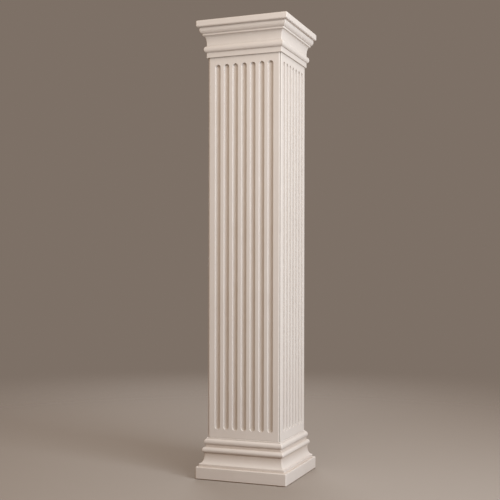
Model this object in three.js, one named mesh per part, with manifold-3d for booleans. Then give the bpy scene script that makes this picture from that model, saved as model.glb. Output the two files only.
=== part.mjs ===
// Square fluted column in painted timber: a moulded base, a fluted shaft and a moulded capital,
// stacked one on another. Millimetres, +Z up. The origin is the middle of the underside, and the
// front face looks along -Y. All four faces are alike.

import * as THREE from 'three';
import { mergeVertices } from 'three/addons/utils/BufferGeometryUtils.js';
import Module from 'manifold-3d';

// Overall sizes
const COLUMN_HEIGHT = 2440;
const BASE_HEIGHT = 218;
const CAPITAL_HEIGHT = 194;
const SHAFT_HEIGHT = COLUMN_HEIGHT - BASE_HEIGHT - CAPITAL_HEIGHT;
const SHAFT_WIDTH = 412;
const SHAFT_ARRIS_RADIUS = 13;

// Flutes: steep-sided grooves with rounded lower corners and round ends, alike on all four faces
const FACES = 4;
const FLUTES_PER_FACE = 7;
const FLUTE_PITCH = 49.7;
const FLUTE_WIDTH = 30;
const FLUTE_DEPTH = 12;
const FLUTE_CORNER_RADIUS = 5;
const FLUTE_TOP_MARGIN = 40;
const FLUTE_BOTTOM_MARGIN = 46;
const CUTTER_CLEARANCE = 4;

// Base, from the ground up
const PLINTH_WIDTH = 512;
const PLINTH_HEIGHT = 66;
const PLINTH_EDGE_RADIUS = 5;
const BASE_FILLET_WIDTH = 484;
const BASE_FILLET_HEIGHT = 15;
const BASE_COVE_NECK_WIDTH = 440;
const BASE_COVE_HEIGHT = 44;
const BASE_COVE_NECK_HEIGHT = 12;
const LOWER_TORUS_WIDTH = 460;
const LOWER_TORUS_HEIGHT = 31;
const QUIRK_WIDTH = 430;
const QUIRK_HEIGHT = 12;
const UPPER_TORUS_WIDTH = 443;
const UPPER_TORUS_HEIGHT = 31;
const BASE_TOP_FILLET_WIDTH = 420;

// Capital, from the shaft up
const NECK_BAND_WIDTH = 425;
const NECK_BAND_HEIGHT = 27;
const BEAD_WIDTH = 449;
const BEAD_HEIGHT = 34;
const CAPITAL_COVE_NECK_HEIGHT = 9;
const CAPITAL_COVE_WIDTH = 454;
const CAPITAL_COVE_HEIGHT = 46;
const CAPITAL_FILLET_WIDTH = 460;
const CAPITAL_FILLET_HEIGHT = 10;
const OVOLO_WIDTH = 486.6;
const OVOLO_RADIUS = 26;
const OVOLO_LOW_ANGLE = -54;
const OVOLO_HIGH_ANGLE = 25;
const ABACUS_WIDTH = 512;
const ABACUS_EDGE_RADIUS = 8;

// Fineness of the rounded forms
const EDGE_STEPS = 3;
const COVE_STEPS = 8;
const TORUS_STEPS = 10;
const OVOLO_STEPS = 6;
const ARRIS_STEPS = 3;
const FLUTE_END_STEPS = 6;
const FLUTE_CORNER_STEPS = 3;

// Paint
const PAINT = { color: 0xe2d6ca, roughness: 0.62, metalness: 0 };

// Points of a profile are Vector2: x is the half-width of the square, y the height.
const at = (halfWidth, height) => new THREE.Vector2(halfWidth, height);

// Rounded stretch of a profile, part of an ellipse; 0 degrees is its outermost point and 90 its top.
// A cove takes a negative reach, because it is hollow.
function curve(centreHalf, centreHeight, reach, rise, startAngle, endAngle, steps) {
  const points = [];
  for (let step = 0; step <= steps; step += 1) {
    const angle = THREE.MathUtils.degToRad(startAngle + ((endAngle - startAngle) * step) / steps);
    points.push(at(centreHalf + reach * Math.cos(angle), centreHeight + rise * Math.sin(angle)));
  }
  return points;
}

// Half-round stretch between two heights, standing out from the profile below and above it
function torus(width, lowHalf, highHalf, bottom, height, steps) {
  const centreHalf = Math.min(lowHalf, highHalf);
  const reach = width / 2 - centreHalf;
  const lowAngle = -THREE.MathUtils.radToDeg(Math.acos((lowHalf - centreHalf) / reach));
  const highAngle = THREE.MathUtils.radToDeg(Math.acos((highHalf - centreHalf) / reach));
  return curve(centreHalf, bottom + height / 2, reach, height / 2, lowAngle, highAngle, steps);
}

// Square moulded block: the profile is carried round four sides, so its corners are mitres.
function mouldedBlock(profile) {
  const bottom = profile[0].y;
  const top = profile[profile.length - 1].y;
  const outline = [at(0, bottom), ...profile, at(0, top)];
  const corners = outline.map((point) => at(point.x * Math.SQRT2, point.y));
  const geometry = new THREE.LatheGeometry(corners, FACES, Math.PI / FACES);
  geometry.rotateX(Math.PI / 2);
  return geometry;
}

// Base: plinth, fillet, cove, two toruses with a quirk between them, top fillet
function baseProfile() {
  const plinthHalf = PLINTH_WIDTH / 2;
  const edgeHalf = plinthHalf - PLINTH_EDGE_RADIUS;
  const filletHalf = BASE_FILLET_WIDTH / 2;
  const neckHalf = BASE_COVE_NECK_WIDTH / 2;
  const quirkHalf = QUIRK_WIDTH / 2;
  const topHalf = BASE_TOP_FILLET_WIDTH / 2;
  const filletTop = PLINTH_HEIGHT + BASE_FILLET_HEIGHT;
  const coveTop = filletTop + BASE_COVE_HEIGHT;
  const lowerTorus = coveTop + BASE_COVE_NECK_HEIGHT;
  const quirk = lowerTorus + LOWER_TORUS_HEIGHT;
  const upperTorus = quirk + QUIRK_HEIGHT;
  const topFillet = upperTorus + UPPER_TORUS_HEIGHT;
  const edgeCentre = PLINTH_HEIGHT - PLINTH_EDGE_RADIUS;
  const coveReach = neckHalf - filletHalf;
  return [
    at(plinthHalf, 0),
    ...curve(edgeHalf, edgeCentre, PLINTH_EDGE_RADIUS, PLINTH_EDGE_RADIUS, 0, 90, EDGE_STEPS),
    at(filletHalf, PLINTH_HEIGHT),
    ...curve(filletHalf, coveTop, coveReach, BASE_COVE_HEIGHT, -90, 0, COVE_STEPS),
    ...torus(LOWER_TORUS_WIDTH, neckHalf, quirkHalf, lowerTorus, LOWER_TORUS_HEIGHT, TORUS_STEPS),
    ...torus(UPPER_TORUS_WIDTH, quirkHalf, topHalf, upperTorus, UPPER_TORUS_HEIGHT, TORUS_STEPS),
    at(topHalf, topFillet),
    at(topHalf, BASE_HEIGHT),
  ];
}

// Capital: neck band, bead, cove, fillet, ovolo, abacus
function capitalProfile() {
  const bandHalf = NECK_BAND_WIDTH / 2;
  const coveHalf = CAPITAL_COVE_WIDTH / 2;
  const filletHalf = CAPITAL_FILLET_WIDTH / 2;
  const abacusHalf = ABACUS_WIDTH / 2;
  const beadTop = NECK_BAND_HEIGHT + BEAD_HEIGHT;
  const coveBottom = beadTop + CAPITAL_COVE_NECK_HEIGHT;
  const coveTop = coveBottom + CAPITAL_COVE_HEIGHT;
  const filletTop = coveTop + CAPITAL_FILLET_HEIGHT;
  const ovoloHalf = OVOLO_WIDTH / 2 - OVOLO_RADIUS;
  const ovoloDrop = OVOLO_RADIUS * Math.sin(THREE.MathUtils.degToRad(-OVOLO_LOW_ANGLE));
  const ovolo = curve(
    ovoloHalf, filletTop + ovoloDrop, OVOLO_RADIUS, OVOLO_RADIUS,
    OVOLO_LOW_ANGLE, OVOLO_HIGH_ANGLE, OVOLO_STEPS,
  );
  const ovoloTop = ovolo[ovolo.length - 1].y;
  const edgeHalf = abacusHalf - ABACUS_EDGE_RADIUS;
  const lowEdge = ovoloTop + ABACUS_EDGE_RADIUS;
  const highEdge = CAPITAL_HEIGHT - ABACUS_EDGE_RADIUS;
  const coveReach = bandHalf - coveHalf;
  return [
    at(bandHalf, 0),
    ...torus(BEAD_WIDTH, bandHalf, bandHalf, NECK_BAND_HEIGHT, BEAD_HEIGHT, TORUS_STEPS),
    ...curve(coveHalf, coveBottom, coveReach, CAPITAL_COVE_HEIGHT, 0, 90, COVE_STEPS),
    at(filletHalf, coveTop),
    at(filletHalf, filletTop),
    ...ovolo,
    ...curve(edgeHalf, lowEdge, ABACUS_EDGE_RADIUS, ABACUS_EDGE_RADIUS, -90, 0, EDGE_STEPS),
    ...curve(edgeHalf, highEdge, ABACUS_EDGE_RADIUS, ABACUS_EDGE_RADIUS, 0, 90, EDGE_STEPS),
  ];
}

// Square prism with rounded arrises, standing on z = 0
function shaftBlank() {
  const half = SHAFT_WIDTH / 2;
  const inner = half - SHAFT_ARRIS_RADIUS;
  const section = new THREE.Shape();
  for (let face = 0; face < FACES; face += 1) {
    const start = (face * Math.PI) / 2;
    const end = start + Math.PI / 2;
    const middle = (start + end) / 2;
    const corner = inner * Math.SQRT2;
    section.absarc(
      corner * Math.cos(middle), corner * Math.sin(middle), SHAFT_ARRIS_RADIUS, start, end, false,
    );
  }
  section.closePath();
  return new THREE.ExtrudeGeometry(section, {
    depth: SHAFT_HEIGHT, bevelEnabled: false, curveSegments: ARRIS_STEPS,
  });
}

// One flute's cutter: a bar with round ends and the flute's rounded lower corners, set into the front
// face to the flute's depth. The part of it outside the face cuts nothing.
function fluteCutter() {
  const reach = FLUTE_WIDTH / 2;
  const bottom = FLUTE_BOTTOM_MARGIN + reach;
  const top = SHAFT_HEIGHT - FLUTE_TOP_MARGIN - reach;
  const outline = new THREE.Shape();
  outline.absarc(0, top, reach, 0, Math.PI, false);
  outline.absarc(0, bottom, reach, Math.PI, 2 * Math.PI, false);
  outline.closePath();
  const geometry = new THREE.ExtrudeGeometry(outline, {
    depth: FLUTE_DEPTH - FLUTE_CORNER_RADIUS + CUTTER_CLEARANCE,
    bevelSize: FLUTE_CORNER_RADIUS,
    bevelThickness: FLUTE_CORNER_RADIUS,
    bevelOffset: -FLUTE_CORNER_RADIUS,
    bevelSegments: FLUTE_CORNER_STEPS,
    curveSegments: FLUTE_END_STEPS,
  });
  geometry.rotateX(Math.PI / 2);
  geometry.translate(0, FLUTE_DEPTH - FLUTE_CORNER_RADIUS - SHAFT_WIDTH / 2, 0);
  return geometry;
}

// Closed triangle mesh to solid: shared corners are merged and triangles without area dropped
function toSolid(geometry) {
  const bare = geometry.clone();
  bare.deleteAttribute('normal');
  bare.deleteAttribute('uv');
  const merged = mergeVertices(bare);
  const index = merged.index.array;
  const triangles = [];
  for (let first = 0; first < index.length; first += 3) {
    const [a, b, c] = index.slice(first, first + 3);
    if (a !== b && b !== c && c !== a) triangles.push(a, b, c);
  }
  return new wasm.Manifold(new wasm.Mesh({
    numProp: 3,
    vertProperties: new Float32Array(merged.attributes.position.array),
    triVerts: new Uint32Array(triangles),
  }));
}

function toGeometry(solid) {
  const mesh = solid.getMesh();
  const geometry = new THREE.BufferGeometry();
  geometry.setAttribute('position', new THREE.BufferAttribute(mesh.vertProperties, mesh.numProp));
  geometry.setIndex(new THREE.BufferAttribute(mesh.triVerts, 1));
  geometry.computeVertexNormals();
  return geometry;
}

// Shaft: the blank with seven flutes cut in each of its four faces
function flutedShaft() {
  let shaft = toSolid(shaftBlank());
  const firstPlace = (-(FLUTES_PER_FACE - 1) / 2) * FLUTE_PITCH;
  for (let face = 0; face < FACES; face += 1) {
    for (let flute = 0; flute < FLUTES_PER_FACE; flute += 1) {
      const cutter = fluteCutter();
      cutter.translate(firstPlace + flute * FLUTE_PITCH, 0, 0);
      cutter.rotateZ((face * Math.PI) / 2);
      shaft = shaft.subtract(toSolid(cutter));
    }
  }
  return toGeometry(shaft);
}

function piece(name, geometry, height) {
  const mesh = new THREE.Mesh(geometry, new THREE.MeshStandardMaterial(PAINT));
  mesh.name = name;
  mesh.position.z = height;
  return mesh;
}

const wasm = await Module();
wasm.setup();

const column = new THREE.Group();
column.add(piece('base', mouldedBlock(baseProfile()), 0));
column.add(piece('shaft', flutedShaft(), BASE_HEIGHT));
column.add(piece('capital', mouldedBlock(capitalProfile()), BASE_HEIGHT + SHAFT_HEIGHT));

export default column;
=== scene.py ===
# Looks of the square fluted column: painted timber base, shaft and capital, seen from the front right.
# Metres, +Z up. The origin is the middle of the underside, and the front face looks along -Y.

import math

import bpy
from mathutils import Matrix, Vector


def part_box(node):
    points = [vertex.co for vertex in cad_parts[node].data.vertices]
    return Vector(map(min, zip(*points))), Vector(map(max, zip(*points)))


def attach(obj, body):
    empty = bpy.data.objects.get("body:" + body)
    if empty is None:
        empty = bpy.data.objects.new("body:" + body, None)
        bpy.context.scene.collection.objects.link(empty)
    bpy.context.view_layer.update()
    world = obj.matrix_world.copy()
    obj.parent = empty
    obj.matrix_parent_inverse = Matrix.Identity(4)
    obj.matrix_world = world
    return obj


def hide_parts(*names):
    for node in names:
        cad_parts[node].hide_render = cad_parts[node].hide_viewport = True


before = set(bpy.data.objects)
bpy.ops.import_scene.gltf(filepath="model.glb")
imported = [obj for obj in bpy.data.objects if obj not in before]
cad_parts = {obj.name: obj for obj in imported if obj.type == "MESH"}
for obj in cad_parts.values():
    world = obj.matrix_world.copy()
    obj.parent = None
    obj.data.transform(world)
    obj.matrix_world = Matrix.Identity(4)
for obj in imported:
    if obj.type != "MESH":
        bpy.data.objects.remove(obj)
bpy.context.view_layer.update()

# Base: plinth, fillet, cove, two toruses with a quirk between them and a top fillet, one block of painted
# timber that the shaft stands on. Its mouldings run round all four sides and are mitred at the corners,
# and the arrises are rubbed down before the paint is brushed on along each side.
MM = 0.001
PLINTH_WIDTH = 512 * MM
PLINTH_HEIGHT = 66 * MM
PLINTH_EDGE_RADIUS = 5 * MM
PLINTH_FOOT_RADIUS = 6 * MM
BASE_FILLET_WIDTH = 484 * MM
BASE_FILLET_HEIGHT = 15 * MM
BASE_COVE_NECK_WIDTH = 440 * MM
BASE_COVE_HEIGHT = 44 * MM
BASE_COVE_NECK_HEIGHT = 12 * MM
LOWER_TORUS_WIDTH = 460 * MM
TORUS_HEIGHT = 31 * MM
QUIRK_WIDTH = 430 * MM
QUIRK_HEIGHT = 12 * MM
UPPER_TORUS_WIDTH = 443 * MM
BASE_TOP_FILLET_WIDTH = 420 * MM
BASE_ARRIS_RADIUS = 6 * MM
BASE_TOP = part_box("base")[1].z
MOULDING_ARRIS_STEPS = 6
CURVE_STEP_ANGLE = math.radians(6)

# Easing of the sharp turns of a profile: LONGEST_CUT is a share of the stretch beside the turn
SHARP_TURN = math.radians(18)
EASED_EDGE = 1.6 * MM
EASED_STEPS = 3
LONGEST_CUT = 0.4
SHORTEST_STRETCH = 0.08 * MM
SMOOTH_ANGLE = math.radians(40)

# Painted shade, scuffs and painted highlight on a profile: an overhang shades fully when it stands out by
# FULL_OVERHANG
FULL_OVERHANG = 10 * MM
OVERHANG_REACH = 28 * MM
CREASE_TURN = math.radians(25)
CREASE_SHADE = 0.55
CREASE_REACH = 4 * MM
# Painted shade darkening the base towards the floor, then a painted contact shadow right along it
GROUND_SHADE = 0.20
GROUND_SHADE_REACH = 150 * MM
FOOT_SHADOW = 5.0
SCUFF_AND_HIGHLIGHT_RADIUS = 4 * MM


def rounded(centre_half, centre_height, reach, rise, start, end):
    """Stretch of an ellipse in a profile, from start to end degrees; 0 is its outermost point."""
    first, last = math.radians(start), math.radians(end)
    steps = max(2, math.ceil(abs(last - first) / CURVE_STEP_ANGLE))
    angles = [first + (last - first) * step / steps for step in range(steps + 1)]
    return [(centre_half + reach * math.cos(a), centre_height + rise * math.sin(a)) for a in angles]


def torus(width, low_half, high_half, bottom, height):
    """Half-round that stands out from the profile below and above it."""
    centre_half = min(low_half, high_half)
    reach = width / 2 - centre_half
    low = -math.degrees(math.acos((low_half - centre_half) / reach))
    high = math.degrees(math.acos((high_half - centre_half) / reach))
    return rounded(centre_half, bottom + height / 2, reach, height / 2, low, high)


def eased(profile):
    """The profile with each sharp turn rounded a little, as sandpaper and paint leave it."""
    drawn = [Vector(point) for point in profile]
    points = [drawn[0]] + [b for a, b in zip(drawn, drawn[1:]) if (b - a).length > SHORTEST_STRETCH]
    result = [points[0]]
    for before, corner, after in zip(points, points[1:], points[2:]):
        back, forward = before - corner, after - corner
        turn = math.pi - back.angle(forward)
        if turn < SHARP_TURN:
            result.append(corner)
            continue
        cut = min(EASED_EDGE * math.tan(turn / 2), LONGEST_CUT * back.length, LONGEST_CUT * forward.length)
        start, end = corner + back.normalized() * cut, corner + forward.normalized() * cut
        for step in range(EASED_STEPS + 1):
            share = step / EASED_STEPS
            result.append(start.lerp(corner, share).lerp(corner.lerp(end, share), share))
    result.append(points[-1])
    return result


def turn_at(before, here, after):
    """Angle by which a profile turns at a point; outward turns are positive, hollow ones negative."""
    back, forward = here - before, after - here
    turn = back.x * forward.y - back.y * forward.x
    return math.atan2(turn, back.dot(forward))


def painted_shade_of(profile, drawn):
    """Painted shade on a profile: darkest right under an overhang, less below it, in hollow corners and near
    the ground.

    profile is the eased profile, drawn the one with sharp corners. 0 is open and 1 is closed; more than 1
    is the painted contact shadow along the floor.
    """
    corners = [Vector(point) for point in drawn]
    creases = [b for a, b, c in zip(corners, corners[1:], corners[2:]) if turn_at(a, b, c) < -CREASE_TURN]
    result = []
    for here in profile:
        shut = 0.0
        for other in profile:
            out, up = other.x - here.x, other.y - here.y
            if out > 0 and up > EASED_EDGE:
                shut = max(shut, min(1.0, out / FULL_OVERHANG) * math.exp(-up / OVERHANG_REACH))
        for crease in creases:
            shut = max(shut, CREASE_SHADE * math.exp(-(here - crease).length / CREASE_REACH))
        shut = min(1.0, shut + GROUND_SHADE * math.exp(-here.y / GROUND_SHADE_REACH))
        result.append(max(shut, FOOT_SHADOW * (1 - here.y / PLINTH_FOOT_RADIUS)))
    return result


def scuff_and_highlight_of(profile):
    """Scuffs and painted highlight at each point of a profile: 1 on a tight outward turn, 0 on flats and
    hollows.
    """
    result = [0.0]
    for before, here, after in zip(profile, profile[1:], profile[2:]):
        length = ((here - before).length + (after - here).length) / 2
        result.append(max(0.0, min(1.0, SCUFF_AND_HIGHLIGHT_RADIUS * turn_at(before, here, after) / length)))
    return result + [0.0]


def select_only(piece):
    bpy.ops.object.select_all(action="DESELECT")
    piece.select_set(True)
    bpy.context.view_layer.objects.active = piece


def smooth_flats(piece):
    """Smooth shading that keeps the flats flat and the tight turns crisp, as paint over timber shows them."""
    select_only(piece)
    bpy.ops.object.shade_smooth_by_angle(angle=SMOOTH_ANGLE)
    weights = piece.modifiers.new("flat faces lead", "WEIGHTED_NORMAL")
    weights.keep_sharp = True
    bpy.ops.object.modifier_apply(modifier=weights.name)


def mark(piece, name, values):
    """Keeps one value a vertex for the paint: its painted shade and dirt, or its scuffs and painted highlight
    there.
    """
    attribute = piece.data.attributes.new(name, "FLOAT", "POINT")
    attribute.data.foreach_set("value", values)


def square_outline(name, width, height, arris_radius, steps):
    """Flat square with rounded corners, all selected in edit mode, ready to be extruded upwards."""
    bpy.ops.object.select_all(action="DESELECT")
    bpy.ops.mesh.primitive_plane_add(size=width, location=(0, 0, height))
    outline = bpy.context.object
    outline.name = outline.data.name = name
    bpy.ops.object.mode_set(mode="EDIT")
    bpy.ops.mesh.select_all(action="SELECT")
    bpy.ops.mesh.bevel(offset=arris_radius, offset_type="OFFSET", segments=steps, affect="VERTICES")
    return outline


def close_up():
    """Turns the faces of the mesh in edit mode outwards and leaves edit mode, its place in the mesh."""
    bpy.ops.mesh.select_all(action="SELECT")
    bpy.ops.mesh.normals_make_consistent(inside=False)
    bpy.ops.object.mode_set(mode="OBJECT")
    bpy.ops.object.transform_apply(location=True)


def moulded_block(name, profile, arris_radius):
    """Square block whose profile is carried up ring by ring, each arris rounded from bottom to top."""
    drawn, profile = profile, eased(profile)
    half, bottom = profile[0]
    block = square_outline(name, 2 * half, bottom, arris_radius, MOULDING_ARRIS_STEPS)
    for low, high in zip(profile, profile[1:]):
        bpy.ops.mesh.extrude_region_move(TRANSFORM_OT_translate={"value": (0, 0, high.y - low.y)})
        bpy.ops.transform.resize(value=(high.x / low.x, high.x / low.x, 1), center_override=(0, 0, high.y))
    close_up()
    smooth_flats(block)

    # Darker with painted shade in hollows, under overhangs and near the floor; lighter on outward turns and
    # mitred corners as scuffs and painted highlight
    shelter, scuff_and_highlight = painted_shade_of(profile, drawn), scuff_and_highlight_of(profile)
    shade_and_dirt, scuffed_and_highlit = [], []
    for vertex in block.data.vertices:
        x, y, z = abs(vertex.co.x), abs(vertex.co.y), vertex.co.z
        place = Vector((max(x, y), z))
        nearest = min(range(len(profile)), key=lambda index: (profile[index] - place).length)
        to_mitre = max(0.0, 1 - abs(x - y) / arris_radius)
        outward = max(0.0, 1 - shelter[nearest])
        shade_and_dirt.append(shelter[nearest])
        scuffed_and_highlit.append(max(scuff_and_highlight[nearest], to_mitre) * outward)
    mark(block, "shade_and_dirt", shade_and_dirt)
    mark(block, "scuffed_and_highlit", scuffed_and_highlit)
    return block


def base_profile():
    """Half-section of the base, from the ground up."""
    plinth, fillet = PLINTH_WIDTH / 2, BASE_FILLET_WIDTH / 2
    neck, quirk, top = BASE_COVE_NECK_WIDTH / 2, QUIRK_WIDTH / 2, BASE_TOP_FILLET_WIDTH / 2
    edge, foot = PLINTH_EDGE_RADIUS, PLINTH_FOOT_RADIUS
    fillet_top = PLINTH_HEIGHT + BASE_FILLET_HEIGHT
    cove_top = fillet_top + BASE_COVE_HEIGHT
    lower_torus = cove_top + BASE_COVE_NECK_HEIGHT
    upper_torus = lower_torus + TORUS_HEIGHT + QUIRK_HEIGHT
    return [
        *rounded(plinth - foot, foot, foot, foot, -90, 0),
        *rounded(plinth - edge, PLINTH_HEIGHT - edge, edge, edge, 0, 90),
        (fillet, PLINTH_HEIGHT),
        *rounded(fillet, cove_top, neck - fillet, BASE_COVE_HEIGHT, -90, 0),
        *torus(LOWER_TORUS_WIDTH, neck, quirk, lower_torus, TORUS_HEIGHT),
        *torus(UPPER_TORUS_WIDTH, quirk, top, upper_torus, TORUS_HEIGHT),
        (top, upper_torus + TORUS_HEIGHT),
        (top, BASE_TOP),
    ]


# The paint is the same matt warm white on all three pieces. Its parts are made here once, as node groups,
# and each piece gives them its own values. A noise below is its scale, detail and roughness.
PAINT_TONE = (0.735, 0.680, 0.632)
PAINT_DEEP_TONE = (0.700, 0.640, 0.588)
# The lighter tone is scuffs and painted highlight; the darker tones below it are painted shade, with dirt in
# the mitre lines
PAINT_SCUFF_AND_HIGHLIGHT_TONE = (0.800, 0.745, 0.690)
SHADE_AND_DIRT_TONE = (0.305, 0.268, 0.232)
BASE_SHADE_AND_DIRT_TONE = (0.375, 0.255, 0.165)
PAINT_ROUGHNESS = 0.56
PAINT_ROUGHNESS_SPREAD = 0.10
PAINT_GLOSS = 0.4
RUBBED_ROUGHNESS = -0.18
SHADE_AND_DIRT_ROUGHNESS = 0.3
PAINT_FILM_RELIEF = 0.22 * MM

# Places of a colour Mix node's sockets
MIX_SHARE = 0
MIX_LOW = 6
MIX_HIGH = 7
MIX_COLOUR = 2


def new_group(name, inputs, outputs):
    """Empty node group with float or vector sockets; returns it with its input and output nodes."""
    group = bpy.data.node_groups.new(name, "ShaderNodeTree")
    kinds = {"float": "NodeSocketFloat", "vector": "NodeSocketVector"}
    for socket, kind in inputs.items():
        group.interface.new_socket(name=socket, in_out="INPUT", socket_type=kinds[kind])
    for socket in outputs:
        group.interface.new_socket(name=socket, in_out="OUTPUT", socket_type=kinds["float"])
    return group, group.nodes.new("NodeGroupInput"), group.nodes.new("NodeGroupOutput")


def feed(tree, source, node, socket):
    """Links an output, given as a (node, socket) pair, to a node's input."""
    tree.links.new(source[0].outputs[source[1]], node.inputs[socket])


def maths(tree, operation, first, second, clamp=False):
    """Math node over two values, each a number or an output."""
    node = tree.nodes.new("ShaderNodeMath")
    node.operation = operation
    node.use_clamp = clamp
    for index, value in enumerate((first, second)):
        if isinstance(value, tuple):
            feed(tree, value, node, index)
        else:
            node.inputs[index].default_value = value
    return node, "Value"


def product(tree, first, second, clamp=False):
    return maths(tree, "MULTIPLY", first, second, clamp)


def total(tree, *values):
    result = values[0]
    for value in values[1:]:
        result = maths(tree, "ADD", result, value)
    return result


def blend(tree, share, low, high):
    """Colour that goes from low to high with an output; low and high are colours or outputs."""
    node = tree.nodes.new("ShaderNodeMix")
    node.data_type = "RGBA"
    feed(tree, share, node, MIX_SHARE)
    for socket, colour in ((MIX_LOW, low), (MIX_HIGH, high)):
        if isinstance(colour[0], bpy.types.Node):
            feed(tree, colour, node, socket)
        else:
            node.inputs[socket].default_value = (*colour, 1)
    return node, MIX_COLOUR


def noise(tree, place, scale, detail, roughness):
    node = tree.nodes.new("ShaderNodeTexNoise")
    feed(tree, place, node, "Vector")
    node.inputs["Scale"].default_value = scale
    node.inputs["Detail"].default_value = detail
    node.inputs["Roughness"].default_value = roughness
    return node, "Fac"


def stretch(tree, value, low, high):
    """The value mapped from low..high to 0..1 with soft ends."""
    node = tree.nodes.new("ShaderNodeMapRange")
    node.interpolation_type = "SMOOTHSTEP"
    feed(tree, value, node, "Value")
    node.inputs["From Min"].default_value = low
    node.inputs["From Max"].default_value = high
    return node, "Result"


CLOUD_NOISE = (3.2, 3, 0.5)
CLOUD_SHARE = 0.5
PATCH_NOISE = (19, 4, 0.6)
PATCH_SHARE = 0.22
CLOUD_RANGE = (0.3, 0.7)
STREAK_NOISE = (1, 3, 0.6)
STREAK_RANGE = (0.25, 0.75)
STREAK_SHARE = 0.28


def brushed_tone_group():
    """Uneven cover of the brushed coats: broad cloudiness and long faint strokes, as one mask."""
    group, given, result = new_group(
        "brushed tone", {"Place": "vector", "Strokes": "vector"}, ["Cover", "Stroke"]
    )
    cloud = stretch(group, noise(group, (given, "Place"), *CLOUD_NOISE), *CLOUD_RANGE)
    patch = stretch(group, noise(group, (given, "Place"), *PATCH_NOISE), *CLOUD_RANGE)
    streak = noise(group, (given, "Strokes"), *STREAK_NOISE)
    cover = total(
        group,
        product(group, cloud, CLOUD_SHARE),
        product(group, patch, PATCH_SHARE),
        product(group, stretch(group, streak, *STREAK_RANGE), STREAK_SHARE),
    )
    feed(group, cover, result, "Cover")
    feed(group, streak, result, "Stroke")
    return group


BRUSH_MARK_NOISE = (2.6, 4, 0.65)
BRUSH_MARK_HEIGHT = 0.9
PEEL_NOISE = (420, 2, 0.5)
PEEL_HEIGHT = 0.16
WAVE_NOISE = (38, 2, 0.4)
WAVE_HEIGHT = 0.5
NIB_CELL_SCALE = 85
NIB_RARITY = 0.965
NIB_EDGE = (0.10, 0.02)
NIB_HEIGHT = 0.9


def brush_relief_group():
    """Height of the paint film: long brush marks, a faint orange peel and a few nibs from specks caught in
    the wet coat.
    """
    group, given, result = new_group("brush relief", {"Place": "vector", "Strokes": "vector"}, ["Height"])
    cells = group.nodes.new("ShaderNodeTexVoronoi")
    cells.inputs["Scale"].default_value = NIB_CELL_SCALE
    feed(group, (given, "Place"), cells, "Vector")
    chance = group.nodes.new("ShaderNodeSeparateColor")
    feed(group, (cells, "Color"), chance, "Color")
    rare = maths(group, "GREATER_THAN", (chance, "Red"), NIB_RARITY)
    nibs = product(group, stretch(group, (cells, "Distance"), *NIB_EDGE), rare)
    film = total(
        group,
        product(group, noise(group, (given, "Strokes"), *BRUSH_MARK_NOISE), BRUSH_MARK_HEIGHT),
        product(group, noise(group, (given, "Place"), *PEEL_NOISE), PEEL_HEIGHT),
        product(group, noise(group, (given, "Place"), *WAVE_NOISE), WAVE_HEIGHT),
        product(group, nibs, NIB_HEIGHT),
    )
    feed(group, film, result, "Height")
    return group


SHADE_AND_DIRT_NOISE = (60, 4, 0.65)
SHADE_AND_DIRT_SPREAD = 0.5
SHADE_AND_DIRT_LEAST = 0.75


def shade_and_dirt_group():
    """Mask of the painted shade, and the dirt in the mitre lines, wherever the surface is marked for it, with
    a broken edge.
    """
    group, given, result = new_group(
        "painted shade and dirt", {"Place": "vector", "Shade_and_dirt": "float", "Amount": "float"}, ["Shade_and_dirt_share"]
    )
    broken = noise(group, (given, "Place"), *SHADE_AND_DIRT_NOISE)
    unevenness = total(group, product(group, broken, SHADE_AND_DIRT_SPREAD), SHADE_AND_DIRT_LEAST)
    deep = product(group, (given, "Shade_and_dirt"), unevenness)
    feed(group, product(group, deep, (given, "Amount"), clamp=True), result, "Shade_and_dirt_share")
    return group


SCUFF_AND_HIGHLIGHT_NOISE = (26, 4, 0.7)
SCUFF_AND_HIGHLIGHT_RANGE = (0.35, 0.7)
LIGHTENED_RANGE = (0.2, 1.0)


def scuff_and_highlight_group():
    """Mask of the places along the arrises and flute lips painted lighter, as scuffs and painted highlight.
    """
    group, given, result = new_group(
        "scuffs and painted highlights", {"Place": "vector", "Scuffed_and_highlit": "float", "Amount": "float"}, ["Scuff_and_highlight"]
    )
    broken = stretch(group, noise(group, (given, "Place"), *SCUFF_AND_HIGHLIGHT_NOISE), *SCUFF_AND_HIGHLIGHT_RANGE)
    lightened = stretch(group, (given, "Scuffed_and_highlit"), *LIGHTENED_RANGE)
    scuff_and_highlight_amount = product(group, product(group, lightened, broken), (given, "Amount"), clamp=True)
    feed(group, scuff_and_highlight_amount, result, "Scuff_and_highlight")
    return group


BRUSHED_TONE = brushed_tone_group()
BRUSH_RELIEF = brush_relief_group()
SHADE_AND_DIRT_MASK = shade_and_dirt_group()
SCUFFS_AND_HIGHLIGHTS = scuff_and_highlight_group()


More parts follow.
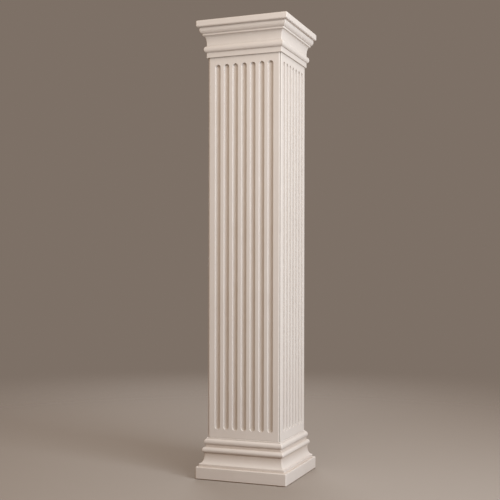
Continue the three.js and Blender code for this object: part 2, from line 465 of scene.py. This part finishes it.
def painted_timber(name, stroke_scale, shade_and_dirt_tone, shade_and_dirt_amount, scuff_and_highlight_amount):
    """Brushed matt paint. stroke_scale squeezes the brush marks across the way the brush was drawn."""
    material = bpy.data.materials.new(name)
    material.use_nodes = True
    tree = material.node_tree
    tree.nodes.clear()
    output = tree.nodes.new("ShaderNodeOutputMaterial")
    surface = tree.nodes.new("ShaderNodeBsdfPrincipled")
    feed(tree, (surface, "BSDF"), output, "Surface")
    place = tree.nodes.new("ShaderNodeTexCoord")
    strokes = tree.nodes.new("ShaderNodeMapping")
    strokes.inputs["Scale"].default_value = stroke_scale
    feed(tree, (place, "Object"), strokes, "Vector")

    def effect(group):
        node = tree.nodes.new("ShaderNodeGroup")
        node.node_tree = group
        feed(tree, (place, "Object"), node, "Place")
        if "Strokes" in node.inputs:
            feed(tree, (strokes, "Vector"), node, "Strokes")
        return node

    def marked_effect(group, attribute, amount):
        node = effect(group)
        reader = tree.nodes.new("ShaderNodeAttribute")
        reader.attribute_name = attribute
        feed(tree, (reader, "Fac"), node, attribute.capitalize())
        node.inputs["Amount"].default_value = amount
        return node

    tone = effect(BRUSHED_TONE)
    film = effect(BRUSH_RELIEF)
    shaded_and_dirty = marked_effect(SHADE_AND_DIRT_MASK, "shade_and_dirt", shade_and_dirt_amount)
    scuffs_and_highlights = marked_effect(SCUFFS_AND_HIGHLIGHTS, "scuffed_and_highlit", scuff_and_highlight_amount)

    colour = blend(tree, (tone, "Cover"), PAINT_DEEP_TONE, PAINT_TONE)
    # Lighter along arrises and flute lips as scuffs and painted highlight, darker with painted shade and with
    # dirt in the mitre lines
    colour = blend(tree, (scuffs_and_highlights, "Scuff_and_highlight"), colour, PAINT_SCUFF_AND_HIGHLIGHT_TONE)
    colour = blend(tree, (shaded_and_dirty, "Shade_and_dirt_share"), colour, shade_and_dirt_tone)
    feed(tree, colour, surface, "Base Color")

    roughness = total(
        tree,
        product(tree, (tone, "Stroke"), PAINT_ROUGHNESS_SPREAD),
        PAINT_ROUGHNESS,
        product(tree, (scuffs_and_highlights, "Scuff_and_highlight"), RUBBED_ROUGHNESS),
        product(tree, (shaded_and_dirty, "Shade_and_dirt_share"), SHADE_AND_DIRT_ROUGHNESS),
    )
    feed(tree, roughness, surface, "Roughness")
    surface.inputs["Specular IOR Level"].default_value = PAINT_GLOSS

    bump = tree.nodes.new("ShaderNodeBump")
    bump.inputs["Strength"].default_value = 1
    bump.inputs["Distance"].default_value = PAINT_FILM_RELIEF
    feed(tree, (film, "Height"), bump, "Height")
    feed(tree, (bump, "Normal"), surface, "Normal")
    return material


BRUSHED_ALONG_SIDES = (4, 4, 110)
base_block = moulded_block("base_block", base_profile(), BASE_ARRIS_RADIUS)
base_block.data.materials.append(
    painted_timber("painted base", BRUSHED_ALONG_SIDES, BASE_SHADE_AND_DIRT_TONE, shade_and_dirt_amount=0.60, scuff_and_highlight_amount=0.5)
)
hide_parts("base")
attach(base_block, "root")

# Shaft: a square box of four painted boards, their mitred edges rounded over so that each corner shows one
# fine joint line. Seven steep-sided flutes with round ends are routed down each board, stopped short of
# both its ends, and the paint is brushed on up and down.
SIDES = 4
SHAFT_WIDTH = 412 * MM
SHAFT_ARRIS_RADIUS = 13 * MM
SHAFT_ARRIS_STEPS = 8
MITRE_LINE_DEPTH = 4 * MM
MITRE_LINE_HALF_WIDTH = 0.4 * MM
FLUTES_PER_FACE = 7
FLUTE_PITCH = 49.7 * MM
FLUTE_WIDTH = 30 * MM
FLUTE_DEPTH = 12 * MM
FLUTE_CORNER_RADIUS = 5 * MM
FLUTE_CORNER_STEPS = 6
FLUTE_TOP_MARGIN = 40 * MM
FLUTE_BOTTOM_MARGIN = 46 * MM
FLUTE_LIP_RADIUS = 0.8 * MM
FLUTE_LIP_START = 0.08 * FLUTE_LIP_RADIUS
FLUTE_LIP_STEPS = 4
FLUTE_ROUND_STEPS = 40
CUTTER_CLEARANCE = 6 * MM
SHAFT_BOTTOM, SHAFT_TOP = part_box("shaft")[0].z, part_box("shaft")[1].z
LOWEST_FLUTE_CENTRE = SHAFT_BOTTOM + FLUTE_BOTTOM_MARGIN + FLUTE_WIDTH / 2
HIGHEST_FLUTE_CENTRE = SHAFT_TOP - FLUTE_TOP_MARGIN - FLUTE_WIDTH / 2
END_RINGS = (3 * MM, 8 * MM, 16 * MM, 28 * MM)

# Painted shade and dirt on the shaft: more than 1 fills the mitre line with dirt, whatever the amount
MITRE_LINE_DIRT = 2.4
CAPITAL_SHADE = 1.15
CAPITAL_SHADE_REACH = 9 * MM
BASE_JOINT_SHADE = 0.8
BASE_JOINT_REACH = 3.5 * MM
FLUTE_CORNER_SHADE_FALL = 5
CORNER_ZONE = 1.5 * SHAFT_ARRIS_RADIUS
# Painted highlights on the rounded arrises and along the flute lips
ARRIS_HIGHLIGHT = 1.2
LIP_HIGHLIGHT = 0.6
LIP_HIGHLIGHT_DEPTHS = (0.032 * MM, 0.8 * MM)
BRUSHED_UP_AND_DOWN = (110, 110, 4)


def shaft_blank():
    """Square prism with rounded arrises, the middle of each drawn in to a fine line."""
    blank = square_outline(
        "fluted_shaft", SHAFT_WIDTH, SHAFT_BOTTOM, SHAFT_ARRIS_RADIUS, SHAFT_ARRIS_STEPS
    )
    bpy.ops.mesh.select_all(action="DESELECT")
    bpy.ops.object.mode_set(mode="OBJECT")
    for vertex in blank.data.vertices:
        vertex.select = abs(abs(vertex.co.x) - abs(vertex.co.y)) < MITRE_LINE_HALF_WIDTH
    drawn_in = 1 - MITRE_LINE_DEPTH / (SHAFT_WIDTH / 2 * math.sqrt(2))
    bpy.ops.object.mode_set(mode="EDIT")
    bpy.ops.transform.resize(value=(drawn_in, drawn_in, 1), center_override=(0, 0, SHAFT_BOTTOM))
    bpy.ops.mesh.select_all(action="SELECT")
    bpy.ops.mesh.extrude_region_move(TRANSFORM_OT_translate={"value": (0, 0, SHAFT_TOP - SHAFT_BOTTOM)})
    close_up()
    return blank


def flute_section():
    """Half-section of a flute: distance from its centre line and height over the face, lip first.

    The lip starts just outside the face, so that the cutter crosses the face at a slant.
    """
    half, inner = FLUTE_WIDTH / 2, FLUTE_WIDTH / 2 - FLUTE_CORNER_RADIUS
    points = [(half + 2 * FLUTE_LIP_RADIUS, FLUTE_LIP_START)]
    for step in range(1, FLUTE_LIP_STEPS + 1):
        angle = math.pi / 2 * step / FLUTE_LIP_STEPS
        points.append(
            (half + FLUTE_LIP_RADIUS * (1 - math.sin(angle)), FLUTE_LIP_RADIUS * (math.cos(angle) - 1))
        )
    for step in range(FLUTE_CORNER_STEPS + 1):
        angle = math.pi / 2 * step / FLUTE_CORNER_STEPS
        points.append((
            inner + FLUTE_CORNER_RADIUS * math.cos(angle),
            FLUTE_CORNER_RADIUS * (1 - math.sin(angle)) - FLUTE_DEPTH,
        ))
    points.append((inner / 2, -FLUTE_DEPTH))
    return points


def flute_cutter():
    """Round-ended bar with the flute's section, standing upright in front of the front face."""
    section = flute_section()
    reach, height = section[0][0], CUTTER_CLEARANCE
    bpy.ops.object.select_all(action="DESELECT")
    bpy.ops.mesh.primitive_circle_add(
        vertices=FLUTE_ROUND_STEPS, radius=reach, fill_type="NGON", location=(0, 0, height)
    )
    cutter = bpy.context.object
    bpy.ops.object.mode_set(mode="EDIT")
    bpy.ops.mesh.select_all(action="SELECT")
    for next_reach, next_height in section:
        bpy.ops.mesh.extrude_region_move(TRANSFORM_OT_translate={"value": (0, 0, next_height - height)})
        bpy.ops.transform.resize(
            value=(next_reach / reach, next_reach / reach, 1), center_override=(0, 0, next_height)
        )
        reach, height = next_reach, next_height
    bpy.ops.mesh.select_all(action="SELECT")
    bpy.ops.transform.rotate(
        value=-math.pi / 2, orient_axis="X", center_override=(0, 0, 0), orient_type="GLOBAL"
    )
    bpy.ops.mesh.bisect(plane_co=(0, 0, 0), plane_no=(0, 0, 1))
    bpy.ops.mesh.select_all(action="DESELECT")
    bpy.ops.object.mode_set(mode="OBJECT")
    bpy.ops.object.transform_apply(location=True)
    for face in cutter.data.polygons:
        face.select = face.center.z > 0
    length = HIGHEST_FLUTE_CENTRE - LOWEST_FLUTE_CENTRE
    bpy.ops.object.mode_set(mode="EDIT")
    bpy.ops.mesh.extrude_region_move(TRANSFORM_OT_translate={"value": (0, 0, length)})
    bpy.ops.mesh.select_all(action="SELECT")
    bpy.ops.transform.translate(value=(0, 0, LOWEST_FLUTE_CENTRE))
    close_up()
    return cutter


def all_cutters():
    """A cutter at each flute's place on the four faces, joined in one object."""
    first = flute_cutter()
    cutters = []
    out = SHAFT_WIDTH / 2
    for side in range(SIDES):
        turn = side * math.pi / 2
        for flute in range(FLUTES_PER_FACE):
            across = (flute - (FLUTES_PER_FACE - 1) / 2) * FLUTE_PITCH
            cutter = first.copy()
            cutter.data = first.data.copy()
            bpy.context.collection.objects.link(cutter)
            cutter.location = (
                across * math.cos(turn) + out * math.sin(turn),
                across * math.sin(turn) - out * math.cos(turn),
                0,
            )
            cutter.rotation_euler = (0, 0, turn)
            cutters.append(cutter)
    bpy.data.objects.remove(first)
    select_only(cutters[0])
    for cutter in cutters:
        cutter.select_set(True)
    bpy.ops.object.join()
    bpy.ops.object.transform_apply()
    return bpy.context.object


def fluted_shaft():
    """The blank with all its flutes routed, and rings near both ends that carry the shade there."""
    shaft = shaft_blank()
    cutters = all_cutters()
    cut = shaft.modifiers.new("flutes", "BOOLEAN")
    cut.operation = "DIFFERENCE"
    cut.solver = "EXACT"
    cut.object = cutters
    select_only(shaft)
    bpy.ops.object.modifier_apply(modifier=cut.name)
    bpy.data.objects.remove(cutters)
    bpy.ops.object.mode_set(mode="EDIT")
    for ring in END_RINGS:
        for height in (SHAFT_BOTTOM + ring, SHAFT_TOP - ring):
            bpy.ops.mesh.select_all(action="SELECT")
            bpy.ops.mesh.bisect(plane_co=(0, 0, height), plane_no=(0, 0, 1))
    bpy.ops.object.mode_set(mode="OBJECT")
    smooth_flats(shaft)
    return shaft


def mark_shaft(shaft):
    """Painted shade in flute corners and at both ends, dirt in the mitre lines, painted highlight on lips and
    arrises.
    """
    shallowest_lit, deepest_lit = LIP_HIGHLIGHT_DEPTHS
    shade_and_dirt, scuffed_and_highlit = [], []
    for vertex in shaft.data.vertices:
        x, y, z = abs(vertex.co.x), abs(vertex.co.y), vertex.co.z
        depth, across, to_mitre = SHAFT_WIDTH / 2 - max(x, y), min(x, y), abs(x - y)
        # Painted shade below the capital's neck band and in the corner above the base
        below_capital = CAPITAL_SHADE * math.exp((z - SHAFT_TOP) / CAPITAL_SHADE_REACH)
        above_base = BASE_JOINT_SHADE * math.exp((SHAFT_BOTTOM - z) / BASE_JOINT_REACH)
        at_end = max(below_capital, above_base)
        if to_mitre < MITRE_LINE_HALF_WIDTH:
            shade_and_dirt.append(MITRE_LINE_DIRT)
            scuffed_and_highlit.append(0.0)
        elif to_mitre < CORNER_ZONE:
            shade_and_dirt.append(at_end)
            # Painted highlight on the rounded arris
            scuffed_and_highlit.append(max(0.0, ARRIS_HIGHLIGHT - to_mitre / SHAFT_ARRIS_RADIUS))
        else:
            flute = min((FLUTES_PER_FACE - 1) / 2, round(across / FLUTE_PITCH)) * FLUTE_PITCH
            beyond_end = max(0.0, LOWEST_FLUTE_CENTRE - z, z - HIGHEST_FLUTE_CENTRE)
            to_wall = min(1.0, math.hypot(across - flute, beyond_end) / (FLUTE_WIDTH / 2))
            # Painted shade in the flute's corners and round ends
            in_corner = min(1.0, depth / FLUTE_DEPTH) * to_wall**FLUTE_CORNER_SHADE_FALL
            shade_and_dirt.append(max(at_end, in_corner))
            # Painted highlight along the flute lips
            scuffed_and_highlit.append(LIP_HIGHLIGHT if shallowest_lit < depth < deepest_lit else 0.0)
    mark(shaft, "shade_and_dirt", shade_and_dirt)
    mark(shaft, "scuffed_and_highlit", scuffed_and_highlit)


fluted = fluted_shaft()
mark_shaft(fluted)
fluted.data.materials.append(
    painted_timber("painted shaft", BRUSHED_UP_AND_DOWN, SHADE_AND_DIRT_TONE, shade_and_dirt_amount=0.50, scuff_and_highlight_amount=0.6)
)
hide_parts("shaft")
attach(fluted, "root")

# Capital: neck band, bead, cove, fillet, ovolo and a square abacus on top, one block of painted timber that
# sits on the shaft. It is moulded, mitred, rubbed down and brushed as the base is.
NECK_BAND_WIDTH = 425 * MM
NECK_BAND_HEIGHT = 27 * MM
BEAD_WIDTH = 449 * MM
BEAD_HEIGHT = 34 * MM
CAPITAL_COVE_NECK_HEIGHT = 9 * MM
CAPITAL_COVE_WIDTH = 454 * MM
CAPITAL_COVE_HEIGHT = 46 * MM
CAPITAL_FILLET_WIDTH = 460 * MM
CAPITAL_FILLET_HEIGHT = 10 * MM
OVOLO_WIDTH = 486.6 * MM
OVOLO_RADIUS = 26 * MM
OVOLO_LOW_ANGLE = -54
OVOLO_HIGH_ANGLE = 25
ABACUS_WIDTH = 512 * MM
ABACUS_EDGE_RADIUS = 8 * MM
CAPITAL_ARRIS_RADIUS = 3.5 * MM
CAPITAL_BOTTOM, CAPITAL_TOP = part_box("capital")[0].z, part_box("capital")[1].z


def capital_profile():
    """Half-section of the capital, from the shaft up."""
    band, cove = NECK_BAND_WIDTH / 2, CAPITAL_COVE_WIDTH / 2
    fillet, abacus = CAPITAL_FILLET_WIDTH / 2, ABACUS_WIDTH / 2
    bead = CAPITAL_BOTTOM + NECK_BAND_HEIGHT
    cove_bottom = bead + BEAD_HEIGHT + CAPITAL_COVE_NECK_HEIGHT
    cove_top = cove_bottom + CAPITAL_COVE_HEIGHT
    fillet_top = cove_top + CAPITAL_FILLET_HEIGHT
    ovolo_half = OVOLO_WIDTH / 2 - OVOLO_RADIUS
    ovolo_centre = fillet_top - OVOLO_RADIUS * math.sin(math.radians(OVOLO_LOW_ANGLE))
    ovolo = rounded(
        ovolo_half, ovolo_centre, OVOLO_RADIUS, OVOLO_RADIUS, OVOLO_LOW_ANGLE, OVOLO_HIGH_ANGLE
    )
    edge, abacus_bottom = ABACUS_EDGE_RADIUS, ovolo[-1][1]
    return [
        (band, CAPITAL_BOTTOM),
        *torus(BEAD_WIDTH, band, band, bead, BEAD_HEIGHT),
        *rounded(cove, cove_bottom, band - cove, CAPITAL_COVE_HEIGHT, 0, 90),
        (fillet, cove_top),
        (fillet, fillet_top),
        *ovolo,
        *rounded(abacus - edge, abacus_bottom + edge, edge, edge, -90, 0),
        *rounded(abacus - edge, CAPITAL_TOP - edge, edge, edge, 0, 90),
    ]


capital_block = moulded_block("capital_block", capital_profile(), CAPITAL_ARRIS_RADIUS)
capital_block.data.materials.append(
    painted_timber("painted capital", BRUSHED_ALONG_SIDES, SHADE_AND_DIRT_TONE, shade_and_dirt_amount=0.22, scuff_and_highlight_amount=0.5)
)
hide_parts("capital")
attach(capital_block, "root")

# Studio: a pale floor that fades into a plain surround, two soft lights on the right, low and high, one in
# front and one behind on the left for the hidden faces, and the camera at the photograph's place. The
# floor looks paler, and the surround darker, than the tones with which they light the column.
FLOOR_REACH = 9
FLOOR_SIDES = 96
FLOOR_TONE = (0.38, 0.335, 0.297)
FLOOR_BOUNCE_TONE = (0.19, 0.135, 0.100)
FLOOR_ROUGHNESS = 0.9
FLOOR_GLOSS = 0.1
FLOOR_FADE = (0.5, 0.65 * FLOOR_REACH)
SURROUND_TONE = (0.356, 0.268, 0.199)
BACKDROP_TONE = (0.205, 0.163, 0.133)

bpy.ops.object.select_all(action="DESELECT")
bpy.ops.mesh.primitive_circle_add(
    vertices=FLOOR_SIDES, radius=FLOOR_REACH, fill_type="NGON", location=(0, 0, 0)
)
floor = bpy.context.object
floor.name = "studio_floor"
floor_material = bpy.data.materials.new("pale floor")
floor_material.use_nodes = True
tree = floor_material.node_tree
tree.nodes.clear()
floor_output = tree.nodes.new("ShaderNodeOutputMaterial")
matt = tree.nodes.new("ShaderNodeBsdfPrincipled")
clear = tree.nodes.new("ShaderNodeBsdfTransparent")
fading = tree.nodes.new("ShaderNodeMixShader")
where = tree.nodes.new("ShaderNodeTexCoord")
far = tree.nodes.new("ShaderNodeVectorMath")
far.operation = "LENGTH"
seen = tree.nodes.new("ShaderNodeLightPath")
feed(tree, blend(tree, (seen, "Is Camera Ray"), FLOOR_BOUNCE_TONE, FLOOR_TONE), matt, "Base Color")
matt.inputs["Roughness"].default_value = FLOOR_ROUGHNESS
matt.inputs["Specular IOR Level"].default_value = FLOOR_GLOSS
feed(tree, (where, "Object"), far, 0)
feed(tree, stretch(tree, (far, "Value"), *FLOOR_FADE), fading, 0)
feed(tree, (matt, "BSDF"), fading, 1)
feed(tree, (clear, "BSDF"), fading, 2)
feed(tree, (fading, "Shader"), floor_output, "Surface")
floor.data.materials.append(floor_material)

world = bpy.data.worlds.new("surround")
bpy.context.scene.world = world
world.use_nodes = True
backdrop = world.node_tree.nodes["Background"]
backdrop.inputs["Strength"].default_value = 1
world_seen = world.node_tree.nodes.new("ShaderNodeLightPath")
surround = blend(world.node_tree, (world_seen, "Is Camera Ray"), SURROUND_TONE, BACKDROP_TONE)
feed(world.node_tree, surround, backdrop, "Color")


def soft_light(name, bearing, elevation, distance, size, power, tone, aim):
    """Square soft light at a bearing from the front face towards the right one, aimed at a height."""
    data = bpy.data.lights.new(name, "AREA")
    data.shape = "SQUARE"
    data.size = size
    data.energy = power
    data.color = tone
    light = bpy.data.objects.new(name, data)
    bpy.context.collection.objects.link(light)
    bearing, elevation = math.radians(bearing), math.radians(elevation)
    away = Vector((
        math.sin(bearing) * math.cos(elevation), -math.cos(bearing) * math.cos(elevation), math.sin(elevation)
    ))
    light.location = Vector((0, 0, aim)) + away * distance
    light.rotation_euler = away.to_track_quat("Z", "Y").to_euler()


COOL_TONE = (0.842, 0.921, 1.0)
WARM_TONE = (1.0, 0.89, 0.78)
PALE_COOL_TONE = (0.90, 0.95, 1.0)
soft_light(
    "low right", bearing=66, elevation=4, distance=5.0, size=1.6, power=117, tone=COOL_TONE, aim=1.25
)
soft_light(
    "high right", bearing=60, elevation=25, distance=5.0, size=2.8, power=150, tone=COOL_TONE, aim=1.25
)
soft_light(
    "front", bearing=15, elevation=45, distance=5.5, size=3.5, power=76, tone=WARM_TONE, aim=1.4
)
soft_light(
    "back", bearing=205, elevation=15, distance=5.5, size=3.5, power=135, tone=PALE_COOL_TONE, aim=1.4
)

CAMERA_DISTANCE = 5.0855
CAMERA_BEARING = math.radians(20.780)
CAMERA_HEIGHT = 1.0960
CAMERA_HEADING = math.radians(21.238)
CAMERA_ROLL = math.radians(0.10)
CAMERA_LENS = 66.87
CAMERA_SHIFT_UP = 0.0464
LEVEL = math.radians(90)

bpy.ops.object.select_all(action="DESELECT")
bpy.ops.object.camera_add()
camera = bpy.context.object
camera.data.lens = CAMERA_LENS
camera.data.shift_y = CAMERA_SHIFT_UP
camera.location = (
    CAMERA_DISTANCE * math.sin(CAMERA_BEARING), -CAMERA_DISTANCE * math.cos(CAMERA_BEARING), CAMERA_HEIGHT
)
camera.rotation_euler = (LEVEL, 0, CAMERA_HEADING)
camera.rotation_euler.rotate_axis("Z", CAMERA_ROLL)
bpy.context.scene.camera = camera
bpy.context.scene.view_settings.view_transform = "Standard"
